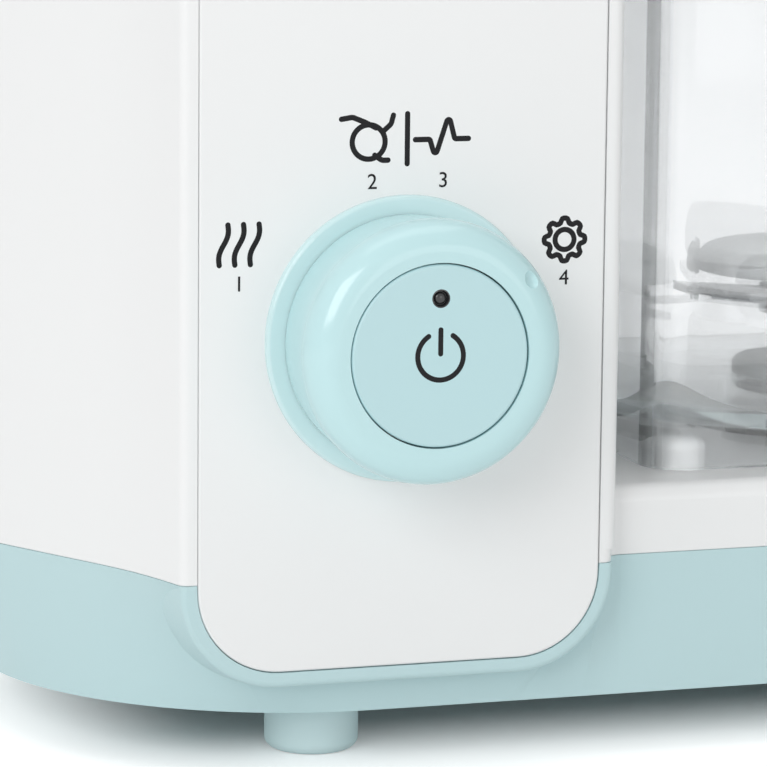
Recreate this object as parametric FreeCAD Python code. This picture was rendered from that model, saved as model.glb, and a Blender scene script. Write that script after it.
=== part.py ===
import FreeCAD, Part
import math
import os

# Sizes in millimetres. X runs from the dial axis, Y from the face of the front panel (+Y to the back)
# and Z from the table. The finished pieces are shifted so that the middle of their footprint is the origin.

# Plan of the body
left_reach = 26.4
body_front = 6.0
left_flat = 4.0
right_corner = 30.0
flank_reach = 5.9
tower_corner = 12.0
flank_depth = 18.0
flank_round = 14.0
plateau_half = 39.6
plateau_round = 2.0
right_blend = 3.6
sweep_start_angle = 15.4
sweep_end_angle = 30.0
sweep_hollow = 93.7
sweep_round = 35.0
base_draw = 4.5
seam_round = 0.35

# Heights and walls of the body
foot_height = 11.2
parting = 36.6
deck_top = 49.0
tower_top = 206.0
wall = 2.5
deck_round = 3.0
tower_round = 4.0

# Front panel and the rim that frames its lower end
panel_margin = 2.9
panel_bottom = 20.5
panel_top = 190.0
panel_thickness = 2.2
panel_corner = 15.0
panel_gap = 0.12
pocket_depth = 2.5
panel_edge = 0.5
rim_width = 2.53
rim_flare = 1.4
rim_depth = 10.0
rim_round = 1.1
rim_inset = 0.1

# Feet and their screws
foot_radius = 8.5
foot_round = 2.0
foot_x = -8.1
foot_inset = 21.0
screw_radius = 2.0
screw_head_radius = 3.6
screw_head_height = 2.6
screw_sink = 4.0
screw_head_round = 1.0
screw_length = 34.0
screw_clearance = 0.15
boss_radius = 5.0
boss_web = 3.0
tower_boss_height = 5.0
vent_count = 5
vent_length = 30.0
vent_width = 3.0
vent_pitch = 8.0

# Dial, button and what carries them
dial_z = 78.3
bezel_radius = 25.0
bezel_thickness = 1.4
dial_neck_radius = 21.8
dial_head_radius = 22.8
dial_flare_y = -14.9
dial_front = -20.1
dial_face_round = 5.1
dial_wall = 3.4
dial_floor = 3.0
scoop_angle = 37.0
scoop_tilt_angle = 34.0
scoop_radius = 1.9
scoop_depth = 0.9
dial_gap = 0.3
button_radius = 15.6
button_gap = 0.25
button_thickness = 3.0
button_travel = 1.0
button_round = 0.5
stem_radius = 8.0
stem_clearance = 0.1
guide_radius = 10.0
guide_flange_radius = 16.0
guide_flange = 2.5
sleeve_clearance = 0.06
sleeve_radius = 12.5
sleeve_gap = 0.4
rotor_radius = 17.0
rotor_thickness = 3.0
lamp_radius = 1.6
lamp_height = 9.8
lamp_depth = 1.5
switch_size = 6.0
switch_height = 3.5

# Control board behind the panel
board_half = 28.0
board_bottom = 61.0
board_top = 146.0
board_front = 16.0
board_thickness = 1.6
board_post_radius = 3.0
board_post_inset = 5.0
relay_size = (16.0, 9.0, 20.0)
relay_place = (-12.0, 124.0)
chip_size = (12.0, 2.0, 8.0)
chip_place = (8.0, 102.3)
socket_size = (12.0, 8.0, 6.0)
socket_place = (-14.0, 99.3)
storage_radius = 5.0
storage_height = 9.0
storage_place = (12.0, 126.0)

# Jug, its floor and its handle
jug_half = 50.0
jug_tower_gap = 7.5
jug_margin = 10.0
jug_corner = 8.0
jug_wall = 3.0
jug_lift = 0.3
jug_floor = 58.0
jug_top = 178.0
dish_radius = 48.0
dish_arc = 22.0
lug_clearance = 0.6
lug_height = 5.5
rim_edge = 1.0
handle_reach = 37.0
handle_width = 22.0
handle_bottom = 80.0
handle_top = 165.0
handle_strap = 10.0
handle_grip = 12.0
handle_arm = 15.0
handle_corner = 17.0
handle_round = 4.0

# Blade unit
holder_radius = 14.0
holder_flange = 3.0
holder_body_radius = 9.0
nut_radius = 13.0
nut_height = 3.0
shaft_radius = 4.0
shaft_clearance = 0.05
seal_radius = 6.5
seal_height = 2.0
blade_radius = 29.5
blade_hub_radius = 9.0
blade_low_z = 70.0
blade_high_z = 73.6
blade_thickness = 1.5
blade_root = 11.0
blade_low_angle = 5.0
blade_high_angle = 6.0
blade_turn_angle = 23.0
blade_cross_angle = 60.0
blade_flare_angle = 23.0
blade_teeth = 5
blade_tooth_radius = 1.6
cap_bottom = 78.4
cap_radius = 21.5
cap_height = 4.6
cap_wall = 2.0
cap_round = 4.0
spacer_radius = 6.4

# Couplings, spindle and belt drive
coupling_radius = 15.0
coupling_disc = 3.0
coupling_tooth = 4.2
coupling_teeth = 3
tooth_angle = 42.0
tooth_inner_radius = 8.0
coupling_gap = 0.4
well_radius = 24.0
well_floor = 41.0
well_wall = 2.5
bearing_radius = 11.0
bearing_flange_radius = 20.0
bearing_flange = 3.0
bearing_bottom = 28.6
bush_radius = 7.0
bush_height = 4.0
running_clearance = 0.05
pulley_bottom = 16.5
belt_width = 7.0
belt_thickness = 1.5
belt_side_gap = 0.6
belt_gap = 0.3
pulley_flange = 1.5
pulley_lip = 3.0
motor_pulley_radius = 9.0
spindle_pulley_radius = 20.0

# Motor
motor_x = -10.0
motor_radius = 29.0
motor_height = 62.0
motor_round = 3.0
bracket_thickness = 3.0
bracket_z = 42.0
bracket_half_x = 35.0
bracket_half_y = 39.0
bracket_corner = 10.0
bracket_leg_radius = 4.0
bracket_leg_inset = 6.0
bracket_bore = 12.0
motor_bearing_depth = 30.0

# Water tank, tank lid and its hinge
tank_left = -48.0
tank_right = 28.0
tank_front = 24.0
tank_inset = 20.0
tank_corner = 14.0
tank_left_flat = 2.0
tank_bottom = 168.0
tank_wall = 2.0
tank_flange = 3.0
tank_gap = 0.3
tank_seal = 1.5
seal_inset = 1.0
lid_gap = 1.4
lid_wall = 2.2
lid_plate = 3.2
lid_skirt_gap = 0.6
lid_round = 2.6
hinge_radius = 2.0
hinge_clearance = 0.08
hinge_wall = 1.8
hinge_offset = 5.8
hinge_height = 6.0
hinge_x = 4.0
hinge_half = 16.0
lug_width = 7.0
hinge_gap = 0.5

# Boiler under the tank
boiler_radius = 30.0
boiler_wall = 3.0
boiler_height = 24.0
boiler_cover = 3.0
boiler_flange = 6.0
heater_radius = 19.0
heater_tube = 4.0
thermostat_radius = 8.0
thermostat_height = 4.0
post_radius = 4.0
post_length = 15.0
post_count = 3
post_angle = 60.0
tube_radius = 4.0
tube_bore = 2.5
tube_bend = 8.0
tube_rise = 14.0
water_tube_offset = 15.0

# Steam nozzle and jug lid
nozzle_radius = 7.0
nozzle_flange_radius = 9.0
nozzle_face_gap = 0.3
port_radius = 4.4
port_bore = 2.9
port_height = 4.6
port_reach = 2.1
jug_lid_gap = 0.6
jug_lid_wall = 3.4
jug_lid_skirt = 9.0
jug_lid_plate = 13.0
jug_lid_top = 3.5
jug_lid_rim = 9.0
jug_lid_round = 3.6
jug_seal_width = 2.5
jug_seal_height = 2.0
stopper_radius = 19.0
stopper_gap = 0.4
stopper_flange = 4.0
stopper_cap = 5.0
stopper_round = 3.0
stopper_depth = 7.0

# Steam basket
basket_gap = 1.2
basket_wall = 1.8
basket_flange = 2.0
basket_bottom = 136.0
basket_hole_radius = 2.2
basket_hole_step = 12.0
basket_hole_count = 7

# Power board and cord grommet
power_left = 25.0
power_right = 80.0
power_inset = 8.0
power_depth = 25.0
power_height = 3.0
choke_size = (15.0, 14.0, 11.0)
choke_place = (12.5, 12.0)
coil_size = (16.0, 16.0, 13.0)
coil_place = (33.0, 12.0)
filter_radius = 4.0
filter_height = 11.0
filter_place = (48.0, 12.0)
grommet_x = 20.0
grommet_z = 24.0
grommet_radius = 7.0
grommet_bore = 3.6
grommet_flange_radius = 9.5
grommet_flange = 2.0

# Places worked out from the sizes above
body_left = -plateau_half - left_reach
tower_right = plateau_half + flank_reach
panel_half = plateau_half - panel_margin
jug_x = tower_right + jug_tower_gap + jug_half
jug_y = body_front + jug_margin + jug_half
body_right = jug_x + jug_half + jug_margin
body_back = jug_y + jug_half + jug_margin
left_corner = (body_back - body_front - left_flat) / 2
tank_back = body_back - tank_inset
tank_left_corner = (tank_back - tank_front - tank_left_flat) / 2
power_back = body_back - power_inset
power_front = power_back - power_depth
motor_y = jug_y
left_x = body_left + left_corner
left_back_y = body_back - left_corner
base_left = body_left + base_draw
base_x = base_left + left_corner
base_y = body_front + left_corner
sweep_cos = math.cos(math.radians(sweep_end_angle))
sweep_sin = math.sin(math.radians(sweep_end_angle))
hollow_x = -plateau_half - sweep_hollow * math.cos(math.radians(sweep_start_angle))
hollow_y = -sweep_hollow * math.sin(math.radians(sweep_start_angle))
flank_start = (hollow_x + sweep_hollow * sweep_cos, hollow_y + sweep_hollow * sweep_sin)
flank_end_x = body_left + sweep_round * (1 - sweep_cos)
flank_end = (flank_end_x, flank_start[1] + (flank_start[0] - flank_end_x) * sweep_cos / sweep_sin)
side_start = (body_left, flank_end[1] + sweep_round * sweep_sin)
corner_x = hollow_x + math.sqrt((sweep_hollow + plateau_round) ** 2 - (plateau_round - hollow_y) ** 2)
corner_share = sweep_hollow / (sweep_hollow + plateau_round)
corner_end = (hollow_x + (corner_x - hollow_x) * corner_share,
              hollow_y + (plateau_round - hollow_y) * corner_share)
base_floor = foot_height + wall
deck_under = deck_top - wall
front_wall_back = pocket_depth + wall
button_back = dial_front + button_thickness
rim_bottom = panel_bottom - panel_gap - rim_width
rim_corner = panel_corner + panel_gap + rim_width
jug_right = jug_x + jug_half
handle_right = jug_right + handle_reach
grommet_back = body_back + grommet_flange
shift = FreeCAD.Vector(-(body_left + handle_right) / 2, -(dial_front + grommet_back) / 2, 0)
foot_right_x = base_left + body_right - foot_x
foot_places = {
    "front_left": (foot_x, body_front + foot_inset),
    "front_right": (foot_right_x, body_front + foot_inset),
    "back_left": (foot_x, body_back - foot_inset),
    "back_right": (foot_right_x, body_back - foot_inset),
}
boiler_top = tank_bottom - post_length - boiler_cover
boiler_bottom = boiler_top - boiler_height
tube_height = boiler_bottom + tube_rise
lid_seat = jug_top + basket_flange + jug_seal_height
steam_z = lid_seat + port_height
jug_lid_half = jug_half + jug_lid_gap + jug_lid_wall
port_face = jug_x - jug_lid_half - port_reach
lid_outer = tank_flange + lid_gap + lid_wall
hinge_y = tank_back + lid_outer + hinge_offset
hinge_z = tower_top + hinge_height
water_outlet = (motor_x - water_tube_offset, motor_y)
touch = 0.01
spare = 1.0


def vec(x, y, z):
    return FreeCAD.Vector(x, y, z)


def rod(radius, z0, z1, x=0.0, y=0.0):
    """Upright cylinder between two heights."""
    return Part.makeCylinder(radius, z1 - z0, vec(x, y, z0))


def ring(outer, inner, z0, z1, x=0.0, y=0.0):
    """Upright ring or bush between two heights."""
    return rod(outer, z0, z1, x, y).cut(rod(inner, z0 - spare, z1 + spare, x, y))


def rod_y(radius, y0, y1, x=0.0, z=0.0):
    """Cylinder that points to the back."""
    return Part.makeCylinder(radius, y1 - y0, vec(x, y0, z), vec(0, 1, 0))


def rod_x(radius, x0, x1, y, z):
    """Cylinder that points to the right."""
    return Part.makeCylinder(radius, x1 - x0, vec(x0, y, z), vec(1, 0, 0))


def block(x0, x1, y0, y1, z0, z1):
    """Box between two values of X, of Y and of Z."""
    return Part.makeBox(x1 - x0, y1 - y0, z1 - z0, vec(x0, y0, z0))


def joined(*shapes):
    return shapes[0].multiFuse(list(shapes[1:])).removeSplitter()


def rounded(shape, radius, test):
    """Round the edges whose bounding box passes the test."""
    return shape.makeFillet(radius, [edge for edge in shape.Edges if test(edge.BoundBox)])


def at_height(z):
    return lambda box: abs(box.ZMin - z) < touch and abs(box.ZMax - z) < touch


def at_depth(y):
    return lambda box: abs(box.YMin - y) < touch and abs(box.YMax - y) < touch


def upright_at(*places):
    """Test for the upright edges that stand on the given plan points."""
    def test(box):
        upright = box.ZLength > spare and box.XLength < touch and box.YLength < touch
        return upright and any(abs(box.XMin - x) + abs(box.YMin - y) < 3 * touch for x, y in places)
    return test


class Outline:
    """Closed outline of lines and arcs in the XY plane."""

    def __init__(self, x, y):
        self.end = vec(x, y, 0)
        self.edges = []

    def line(self, x, y):
        point = vec(x, y, 0)
        self.edges.append(Part.LineSegment(self.end, point).toShape())
        self.end = point
        return self

    def arc(self, centre_x, centre_y, x, y):
        """Shorter arc about a centre to the given point."""
        centre = vec(centre_x, centre_y, 0)
        point = vec(x, y, 0)
        outward = (self.end - centre) + (point - centre)
        middle = centre + outward.normalize() * (point - centre).Length
        self.edges.append(Part.Arc(self.end, middle, point).toShape())
        self.end = point
        return self

    def face(self):
        return Part.Face(Part.Wire(self.edges))


def rounded_rectangle(x0, x1, y0, y1, left, right=None):
    """Rectangle with one radius at its left corners and one at its right corners."""
    right = left if right is None else right
    path = Outline(x0 + left, y0)
    path.line(x1 - right, y0).arc(x1 - right, y0 + right, x1, y0 + right)
    path.line(x1, y1 - right).arc(x1 - right, y1 - right, x1 - right, y1)
    path.line(x0 + left, y1).arc(x0 + left, y1 - left, x0, y1 - left)
    path.line(x0, y0 + left).arc(x0 + left, y0 + left, x0 + left, y0)
    return path.face()


def square(half, corner):
    """Rounded square about the jug's axis."""
    return rounded_rectangle(jug_x - half, jug_x + half, jug_y - half, jug_y + half, corner)


def prism(face, z0, z1):
    return face.translated(vec(0, 0, z0)).extrude(vec(0, 0, z1 - z0))


def standing(face):
    """Turn a face from the XY plane into the XZ plane."""
    return face.rotated(vec(0, 0, 0), vec(1, 0, 0), 90)


def prism_y(face, y0, y1):
    """Extrude an XZ outline, drawn in XY, from front to back."""
    return standing(face).translated(vec(0, y0, 0)).extrude(vec(0, y1 - y0, 0))


def turned(points, origin, axis):
    """Revolve a closed (radius, along) profile about an axis through the origin point."""
    along = vec(*axis)
    across = vec(1, 0, 0)
    corners = [origin + across * r + along * t for r, t in points]
    face = Part.Face(Part.makePolygon(corners + corners[:1]))
    return face.revolve(origin, along, 360)


def fan(shape, count, x, y, first=0.0):
    """Copies of a shape spaced evenly about an upright axis."""
    step = 360.0 / count
    return [shape.rotated(vec(x, y, 0), vec(0, 0, 1), first + step * i) for i in range(count)]


def plan(right_side):
    """Plan of the body: the left end is shared, right_side draws from the dial's side to the back."""
    path = Outline(-plateau_half, 0)
    path.line(plateau_half, 0)
    right_side(path)
    left_side(path, (-plateau_half, 0))
    return path.face()


def left_side(path, end):
    """Left end of the plan, from the back round to the given end of the swept flank."""
    path.line(left_x, body_back).arc(left_x, left_back_y, body_left, left_back_y).line(*side_start)
    path.arc(body_left + sweep_round, side_start[1], *flank_end).line(*flank_start)
    path.arc(hollow_x, hollow_y, *end)


def tower_side(path):
    """Right flank of the tower beside the jug."""
    path.line(tower_right, flank_depth).line(tower_right, body_back - tower_corner)
    path.arc(tower_right - tower_corner, body_back - tower_corner, tower_right - tower_corner, body_back)


def deck_side(path):
    """Right side of the deck, with the blend from the plateau to the deck's front."""
    blend_right = plateau_half + right_blend
    path.line(plateau_half, body_front - right_blend)
    path.arc(blend_right, body_front - right_blend, blend_right, body_front)
    path.line(body_right - right_corner, body_front)
    right_end(path)


def right_end(path):
    """Right end of the deck with its two corners."""
    path.arc(body_right - right_corner, body_front + right_corner, body_right, body_front + right_corner)
    path.line(body_right, body_back - right_corner)
    path.arc(body_right - right_corner, body_back - right_corner, body_right - right_corner, body_back)


def plateau_corners():
    return upright_at((plateau_half, 0), (-plateau_half, 0))


def panel_outline(grow=0.0):
    return rounded_rectangle(-panel_half - grow, panel_half + grow, panel_bottom - grow, panel_top + grow,
                             panel_corner + grow)


def base_top():
    """Upper outline of the base, in the same number of runs as the lower one."""
    path = Outline(corner_x, 0)
    right = plateau_half - plateau_round
    path.line(0, 0).line(right, 0).arc(right, plateau_round, plateau_half, plateau_round)
    deck_side(path)
    left_side(path, corner_end)
    path.arc(corner_x, plateau_round, corner_x, 0)
    return path


def base_bottom():
    """Lower outline of the base: a rounded plan without the plateau, run for run like the upper one."""
    inner = plateau_half - rim_corner

    def at_x(x):
        """Point of the left front corner at a given X."""
        return x, base_y - math.sqrt(left_corner ** 2 - (base_x - x) ** 2)

    def below(point):
        """Point of the left front corner straight in from a point of the upper outline."""
        angle = math.atan2(base_x - point[0], base_y - point[1])
        return base_x - left_corner * math.sin(angle), base_y - left_corner * math.cos(angle)

    path = Outline(*at_x(-inner))
    path.arc(base_x, base_y, base_x, body_front)
    for x in (inner, inner + plateau_round, plateau_half - right_blend, plateau_half + right_blend):
        path.line(x, body_front)
    path.line(body_right - right_corner, body_front)
    right_end(path)
    path.line(base_x, body_back).arc(base_x, left_back_y, base_left, left_back_y).line(base_left, base_y)
    for point in (below(flank_end), below(flank_start), at_x(-inner - plateau_round), at_x(-inner)):
        path.arc(base_x, base_y, *point)
    return path


def base_rim():
    """Raised U that frames the panel's lower end and flares back into the tray."""
    half = plateau_half - rim_inset
    top = parting + rim_corner + rim_flare
    front = rounded_rectangle(-half, half, rim_bottom, top, rim_corner)
    back = rounded_rectangle(-half - rim_flare, half, rim_bottom - rim_flare, top, rim_corner + rim_flare)
    sections = [standing(front).OuterWire, standing(back).translated(vec(0, rim_depth, 0)).OuterWire]
    rim = rounded(Part.makeLoft(sections, True, True), rim_round, at_depth(0))
    return rim.common(block(body_left, body_right, 0, body_back, foot_height, parting))


def base_shell():
    """Teal tray, drawn in towards its floor on the left, with the rim about the panel."""
    lower = base_bottom()
    sections = [Part.Wire(lower.edges).translated(vec(0, 0, foot_height)),
                Part.Wire(base_top().edges).translated(vec(0, 0, parting))]
    shell = joined(Part.makeLoft(sections, True, True), base_rim())
    hollow = prism(lower.face().makeOffset2D(-wall), base_floor, parting + spare)
    shell = shell.cut(hollow).cut(prism_y(panel_outline(panel_gap), -spare, pocket_depth))
    posts = [rod(boss_radius, base_floor, parting, x, y) for x, y in foot_places.values()]
    shell = joined(shell, *posts, *power_posts())
    holes = [rod(screw_radius + screw_clearance, 0, parting + spare, x, y) for x, y in foot_places.values()]
    holes.append(rod_y(grommet_radius, body_back - wall - spare, body_back + spare, grommet_x, grommet_z))
    return shell.cut(Part.makeCompound(holes + vents()))


def corners(x0, x1, y0, y1, inset):
    """The four points set in from the corners of a rectangle."""
    return [(x, y) for x in (x0 + inset, x1 - inset) for y in (y0 + inset, y1 - inset)]


def power_posts():
    places = corners(power_left, power_right, power_front, power_back, board_post_inset)
    return [rod(board_post_radius, base_floor, base_floor + power_height, x, y) for x, y in places]


def vents():
    """Cooling slots in the floor of the tray, under the motor."""
    slots = []
    for i in range(vent_count):
        x = motor_x - motor_radius / 2 + (i - (vent_count - 1) / 2) * vent_pitch
        slots.append(block(x - vent_width / 2, x + vent_width / 2, motor_y - vent_length / 2,
                           motor_y + vent_length / 2, foot_height - spare, base_floor + spare))
    return slots


def housing():
    """White upper housing: tower, low deck, coupling well and the lugs that place the jug."""
    deck_face = plan(deck_side)
    tower_face = plan(tower_side)
    deck = rounded(prism(deck_face, parting, deck_top), plateau_round, plateau_corners())
    deck = rounded(deck, deck_round, at_height(deck_top))
    deck = rounded(deck, seam_round, at_height(parting))
    tower = rounded(prism(tower_face, parting + wall, tower_top), plateau_round, plateau_corners())
    tower = rounded(tower, flank_round, upright_at((tower_right, flank_depth)))
    tower = rounded(tower, tower_round, at_height(tower_top))
    body = joined(deck, tower)
    room = block(body_left, body_right, front_wall_back, body_back, 0, tower_top)
    deck_room = prism(deck_face.makeOffset2D(-wall), parting - spare, deck_under).common(room)
    tower_room = prism(tower_face.makeOffset2D(-wall), parting - spare, tower_top - wall).common(room)
    body = body.cut(deck_room).cut(tower_room)
    well = rod(well_radius + well_wall, well_floor - wall, deck_under, jug_x, jug_y)
    body = joined(body, well, *jug_lugs(), *inner_bosses(), *hinge_lugs())
    cuts = [
        rod(well_radius, well_floor, deck_top + spare, jug_x, jug_y),
        rod(bush_radius, well_floor - wall - spare, well_floor + spare, jug_x, jug_y),
        prism_y(panel_outline(panel_gap), -spare, pocket_depth),
        rod_y(sleeve_radius + sleeve_gap, 0, front_wall_back + spare, 0, dial_z),
        prism(tank_outline(tank_gap), tower_top - wall - spare, tower_top + spare),
        rod_x(nozzle_radius, tower_right - wall - spare, tower_right + spare, jug_y, steam_z),
        rod_x(hinge_radius, hinge_x - hinge_half * 2, hinge_x + hinge_half * 2, hinge_y, hinge_z),
    ]
    for x, y in foot_places.values():
        cuts.append(rod(screw_radius, parting - spare, parting + screw_length, x, y))
    return body.cut(Part.makeCompound(cuts))


def inner_bosses():
    """Screw bosses over the feet, with webs to the nearest wall, and the control board's posts."""
    parts = []
    for name, (x, y) in foot_places.items():
        if name.endswith("right"):
            parts.append(rod(boss_radius, parting, deck_under, x, y))
            continue
        top = parting + tower_boss_height
        wall_y = front_wall_back if name.startswith("front") else body_back - wall
        parts.append(rod(boss_radius, parting, top, x, y))
        y0, y1 = sorted((y, wall_y))
        parts.append(block(x - boss_web / 2, x + boss_web / 2, y0, y1, parting, top))
    places = corners(-board_half, board_half, board_bottom, board_top, board_post_inset)
    return parts + [rod_y(board_post_radius, front_wall_back, board_front, x, z) for x, z in places]


def jug_lugs():
    """Four low pegs inside the corners of the jug's skirt."""
    centre = jug_half - jug_corner
    radius = jug_corner - jug_wall - lug_clearance
    lugs = []
    for sx in (-1, 1):
        for sy in (-1, 1):
            peg = rod(radius, deck_top, deck_top + lug_height, jug_x + sx * centre, jug_y + sy * centre)
            lugs.append(rounded(peg, radius / 2, at_height(deck_top + lug_height)))
    return lugs


def tank_outline(grow=0.0):
    return rounded_rectangle(tank_left - grow, tank_right + grow, tank_front - grow, tank_back + grow,
                             tank_left_corner + grow, tank_corner + grow)


def hinge_lugs():
    """Two ears at the back of the tower that hold the tank lid's pin."""
    radius = hinge_radius + hinge_wall
    ears = []
    for side in (-1, 1):
        near = hinge_x + side * (hinge_half + hinge_gap)
        far = near + side * lug_width
        low, high = min(near, far), max(near, far)
        root = block(low, high, hinge_y - radius, hinge_y + radius, tower_top - wall, hinge_z)
        ears.append(rod_x(radius, low, high, hinge_y, hinge_z).fuse(root))
    return ears


def feet():
    result = {}
    for name, (x, y) in foot_places.items():
        foot = rounded(rod(foot_radius, 0, foot_height, x, y), foot_round, at_height(0))
        foot = foot.cut(rod(screw_radius + screw_clearance, -spare, foot_height + spare, x, y))
        sink = rod(screw_head_radius + screw_clearance, -spare, screw_sink + screw_head_height, x, y)
        result["foot_" + name] = foot.cut(sink)
    return result


def foot_screws():
    """Pan-head screws through the feet and the tray into the housing."""
    seat = screw_sink + screw_head_height
    screws = []
    for x, y in foot_places.values():
        head = rod(screw_head_radius, screw_sink, seat, x, y)
        head = rounded(head, screw_head_round, at_height(screw_sink))
        screws.append(joined(head, rod(screw_radius, seat, seat + screw_length, x, y)))
    return Part.makeCompound(screws)


def front_panel():
    panel = prism_y(panel_outline(), 0, panel_thickness)
    panel = rounded(panel, panel_edge, at_depth(0))
    return panel.cut(rod_y(sleeve_radius + sleeve_gap, -spare, panel_thickness + spare, 0, dial_z))


def about_dial(points):
    """Turned piece about the dial axis, from (radius, y) points."""
    return turned(points, vec(0, 0, dial_z), (0, 1, 0))


def face_rim(radius, y):
    """Test for the round edges wider than the radius on one plane across the dial axis."""
    return lambda box: at_depth(y)(box) and box.XLength > 2 * radius


def scoop_place():
    """Centre of the ball that sinks the pointer dimple into the rounding of the dial's face."""
    angle = math.radians(scoop_angle)
    tilt = math.radians(scoop_tilt_angle)
    reach = dial_face_round + scoop_radius - scoop_depth
    radius = dial_head_radius - dial_face_round + reach * math.sin(tilt)
    y = dial_front + dial_face_round - reach * math.cos(tilt)
    return vec(radius * math.cos(angle), y, dial_z + radius * math.sin(angle))


def dial_parts():
    """Bezel, dial and rotor about the dial axis."""
    hole = sleeve_radius + sleeve_gap
    bezel = about_dial([(hole, -bezel_thickness), (bezel_radius, -bezel_thickness),
                        (bezel_radius, 0), (hole, 0)])
    bezel = rounded(bezel, bezel_thickness / 2, face_rim(dial_head_radius, -bezel_thickness))
    pocket = button_radius + button_gap
    floor_front = button_back + button_travel + button_gap
    floor_back = floor_front + dial_floor
    neck_back = -bezel_thickness - dial_gap
    rotor_front = front_wall_back + dial_gap
    sleeve_back = rotor_front + rotor_thickness
    bore = guide_radius + sleeve_clearance
    inside = dial_neck_radius - dial_wall
    dial = about_dial([(pocket, dial_front), (dial_head_radius, dial_front),
                       (dial_head_radius, dial_flare_y), (dial_neck_radius, neck_back),
                       (inside, neck_back), (inside, floor_back),
                       (sleeve_radius, floor_back), (sleeve_radius, sleeve_back), (bore, sleeve_back),
                       (bore, floor_front), (pocket, floor_front)])
    dial = rounded(dial, dial_face_round, face_rim(dial_neck_radius, dial_front))
    dial = dial.cut(Part.makeSphere(scoop_radius, scoop_place()))
    rotor = about_dial([(sleeve_radius, rotor_front), (rotor_radius, rotor_front),
                        (rotor_radius, sleeve_back), (sleeve_radius, sleeve_back)])
    return {"dial_bezel": bezel, "dial": dial, "dial_rotor": rotor}


def button_parts():
    """Power button with its lamp window, and the fixed guide that its stem slides in."""
    guide_front = button_back + button_travel + dial_gap
    guide_back = board_front - guide_flange
    bore = stem_radius + stem_clearance
    guide = about_dial([(bore, guide_front), (guide_radius, guide_front), (guide_radius, guide_back),
                        (guide_flange_radius, guide_back), (guide_flange_radius, board_front),
                        (bore, board_front)])
    stem_back = board_front - switch_height - stem_clearance - button_travel
    button = about_dial([(0, dial_front), (button_radius, dial_front), (button_radius, button_back),
                         (stem_radius, button_back), (stem_radius, stem_back), (0, stem_back)])
    button = rounded(button, button_round, face_rim(stem_radius, dial_front))
    lamp_z = dial_z + lamp_height
    lamp_back = dial_front + lamp_depth
    button = button.cut(rod_y(lamp_radius, dial_front - spare, lamp_back, 0, lamp_z))
    return {"button_guide": guide, "power_button": button,
            "lamp_window": rod_y(lamp_radius, dial_front, lamp_back, 0, lamp_z)}


def control_board():
    """Board on the posts behind the panel, its push switch and its larger parts."""
    back = board_front + board_thickness
    plate = block(-board_half, board_half, board_front, back, board_bottom, board_top)
    half = switch_size / 2
    switch = block(-half, half, board_front - switch_height, board_front, dial_z - half, dial_z + half)
    parts = [rod_y(storage_radius, back, back + storage_height, *storage_place)]
    for (width, depth, height), (x, z) in ((relay_size, relay_place), (chip_size, chip_place),
                                           (socket_size, socket_place)):
        parts.append(block(x - width / 2, x + width / 2, back, back + depth,
                           z - height / 2, z + height / 2))
    return {"control_board": plate, "push_switch": switch, "control_board_parts": Part.makeCompound(parts)}


def power_board():
    """Mains board on the floor of the tray with its larger parts, placed from its front left corner."""
    bottom = base_floor + power_height
    top = bottom + board_thickness
    plate = block(power_left, power_right, power_front, power_back, bottom, top)
    parts = [rod(filter_radius, top, top + filter_height, *filter_place)]
    for (width, depth, height), (x, y) in ((choke_size, choke_place), (coil_size, coil_place)):
        parts.append(block(x - width / 2, x + width / 2, y - depth / 2, y + depth / 2, top, top + height))
    parts = Part.makeCompound(parts).translated(vec(power_left, power_front, 0))
    return {"power_board": plate, "power_board_parts": parts}


def grommet():
    """Rubber grommet in the back wall of the tray."""
    inside = body_back - wall
    sleeve = rod_y(grommet_radius, inside - grommet_flange, body_back, grommet_x, grommet_z)
    outer = rod_y(grommet_flange_radius, body_back, grommet_back, grommet_x, grommet_z)
    outer = rounded(outer, grommet_flange / 2, at_depth(grommet_back))
    inner = rod_y(grommet_flange_radius, inside - grommet_flange, inside, grommet_x, grommet_z)
    bore = rod_y(grommet_bore, inside - grommet_flange - spare, grommet_back + spare, grommet_x, grommet_z)
    return joined(sleeve, outer, inner).cut(bore)


def pulley(radius, x, y):
    """Flat-belt pulley with a flange above and below the belt."""
    low = pulley_bottom
    track = belt_width + 2 * belt_side_gap
    body = rod(radius, low, low + 2 * pulley_flange + track, x, y)
    flanges = [rod(radius + pulley_lip, low, low + pulley_flange, x, y),
               rod(radius + pulley_lip, low + pulley_flange + track, low + 2 * pulley_flange + track, x, y)]
    return joined(body, *flanges).cut(rod(shaft_radius, low - spare, deck_top, x, y))


def belt_outline(grow):
    """Closed loop round the two pulleys, the given distance outside them."""
    small, large = motor_pulley_radius + grow, spindle_pulley_radius + grow
    span = math.hypot(jug_x - motor_x, jug_y - motor_y)
    heading = math.atan2(jug_y - motor_y, jug_x - motor_x)
    lean = math.acos((small - large) / span)

    def around(x, y, radius, angle):
        return x + radius * math.cos(heading + angle), y + radius * math.sin(heading + angle)

    far = around(jug_x, jug_y, large, 0)
    near = around(motor_x, motor_y, small, math.pi)
    path = Outline(*around(motor_x, motor_y, small, -lean))
    path.line(*around(jug_x, jug_y, large, -lean))
    path.arc(jug_x, jug_y, *far).arc(jug_x, jug_y, *around(jug_x, jug_y, large, lean))
    path.line(*around(motor_x, motor_y, small, lean))
    path.arc(motor_x, motor_y, *near).arc(motor_x, motor_y, *around(motor_x, motor_y, small, -lean))
    return path.face()


def drive_belt():
    low = pulley_bottom + pulley_flange + belt_side_gap
    outer = prism(belt_outline(belt_gap + belt_thickness), low, low + belt_width)
    return outer.cut(prism(belt_outline(belt_gap), low - spare, low + belt_width + spare))


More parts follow.
